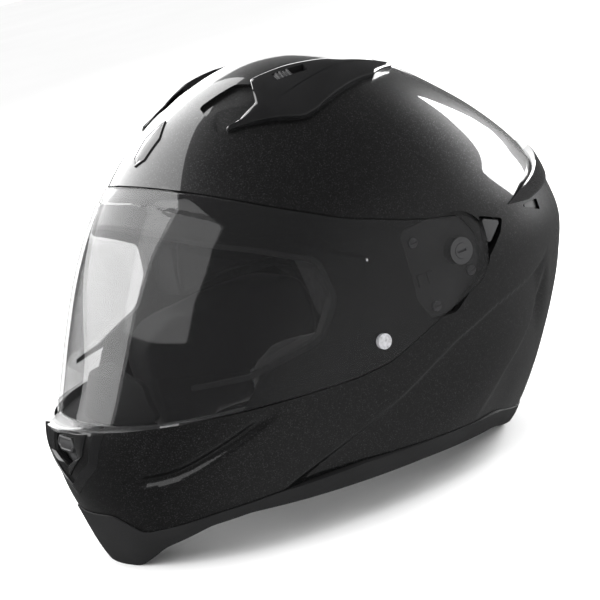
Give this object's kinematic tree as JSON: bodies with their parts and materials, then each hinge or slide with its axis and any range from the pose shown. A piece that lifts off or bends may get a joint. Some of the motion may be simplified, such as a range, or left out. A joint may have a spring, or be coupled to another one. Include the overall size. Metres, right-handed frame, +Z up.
{
  "type": "motorcycle helmet",
  "caption": "Full-face motorcycle helmet with a hinged smoke visor, sliding top and chin vents, side release levers, foam liner, pads and a chin strap with steel rings.",
  "frame": {"origin": "centre of the bounding box in plan, on the table plane that the rim stands on", "axes": "+Z up through the crown, -Y towards the front of the helmet, +X towards the wearer's left"},
  "size_m": [0.2536, 0.3566, 0.2639],
  "materials": {
    "shell_paint": "gloss metallic black lacquer",
    "gloss_trim": "gloss black",
    "rim_rubber": "matte",
    "gasket_rubber": "satin",
    "soft_rubber": "matte",
    "mechanism_plastic": "satin",
    "snap_plastic": "satin",
    "vent_mesh": "matte",
    "foam": "beaded foam",
    "lining_fabric": "brushed knit",
    "webbing": "woven",
    "ring_steel": "polished",
    "screw_steel": "satin",
    "visor_smoke": "tinted polycarbonate",
    "insert_clear": "clear lens",
    "pin_clear": "frosted clear"
  },
  "bodies": {
    "helmet": {"outer_shell": "shell_paint", "lower_trim": "rim_rubber", "eyeport_gasket": "gasket_rubber", "rear_spoiler": "gloss_trim", "chin_vent_frame": "gloss_trim", "chin_lower_chevron": "gloss_trim", "chin_vent_mesh": "vent_mesh", "eps_liner": "foam", "eps_chin": "foam", "crown_pad": "lining_fabric", "nape_pad": "lining_fabric", "neck_roll": "lining_fabric", "breath_deflector": "soft_rubber", "chin_curtain": "lining_fabric", "front_badge": "gloss_trim", "strap_long": "webbing", "strap_short": "webbing", "strap_snap": "snap_plastic", "base_plate_left": "mechanism_plastic", "base_plate_screws_left": "screw_steel", "hub_cap_left": "mechanism_plastic", "top_vent_cover_left": "gloss_trim", "rear_vent_grille_left": "mechanism_plastic", "cheek_pad_left": "lining_fabric", "strap_rivet_left": "screw_steel", "base_plate_right": "mechanism_plastic", "base_plate_screws_right": "screw_steel", "hub_cap_right": "mechanism_plastic", "top_vent_cover_right": "gloss_trim", "rear_vent_grille_right": "mechanism_plastic", "cheek_pad_right": "lining_fabric", "strap_rivet_right": "screw_steel"},
    "visor": {"visor": "visor_smoke", "visor_tab": "visor_smoke", "anti_fog_insert": "insert_clear"},
    "insert_pin_left": {"insert_pin_left": "pin_clear"},
    "insert_pin_right": {"insert_pin_right": "pin_clear"},
    "release_lever_left": {"release_lever_left": "mechanism_plastic"},
    "release_lever_right": {"release_lever_right": "mechanism_plastic"},
    "top_vent_slider_left": {"top_vent_slider_left": "mechanism_plastic"},
    "top_vent_slider_right": {"top_vent_slider_right": "mechanism_plastic"},
    "chin_vent_slider": {"chin_vent_slider": "gloss_trim"},
    "d_rings": {"d_rings": "ring_steel"}
  },
  "joints": [
    {"name": "visor_open", "type": "hinge", "parent": "helmet", "child": "visor", "pos_m": [0, 0.04133, 0.137], "axis": [-1, 0, 0], "range_deg": [0, 50]},
    {"name": "insert_pin_turn_left", "type": "hinge", "parent": "visor", "child": "insert_pin_left", "pos_m": [0.12, -0.02167, 0.103], "axis": [1, 0, 0], "range_deg": [0, 180]},
    {"name": "release_press_left", "type": "hinge", "parent": "helmet", "child": "release_lever_left", "pos_m": [0.12, 0.07373, 0.1439], "axis": [1, 0, 0], "range_deg": [0, 12], "stiffness_Nm_per_rad": 0.02},
    {"name": "top_vent_slide_left", "type": "slide", "parent": "helmet", "child": "top_vent_slider_left", "axis": [0.1805, 0.9828, 0.0401], "range_m": [0, 0.009]},
    {"name": "insert_pin_turn_right", "type": "hinge", "parent": "visor", "child": "insert_pin_right", "pos_m": [-0.12, -0.02167, 0.103], "axis": [-1, 0, 0], "range_deg": [0, 180]},
    {"name": "release_press_right", "type": "hinge", "parent": "helmet", "child": "release_lever_right", "pos_m": [-0.12, 0.07373, 0.1439], "axis": [1, 0, 0], "range_deg": [0, 12], "stiffness_Nm_per_rad": 0.02},
    {"name": "top_vent_slide_right", "type": "slide", "parent": "helmet", "child": "top_vent_slider_right", "axis": [-0.1805, 0.9828, 0.0401], "range_m": [0, 0.009]},
    {"name": "chin_vent_slide", "type": "slide", "parent": "helmet", "child": "chin_vent_slider", "axis": [0, -0.12, -0.9928], "range_m": [0, 0.004]},
    {"name": "d_rings_swing", "type": "hinge", "parent": "helmet", "child": "d_rings", "pos_m": [-0.0524, 0.00233, 0.062], "axis": [0, -1, 0], "range_deg": [0, 75]}
  ]
}
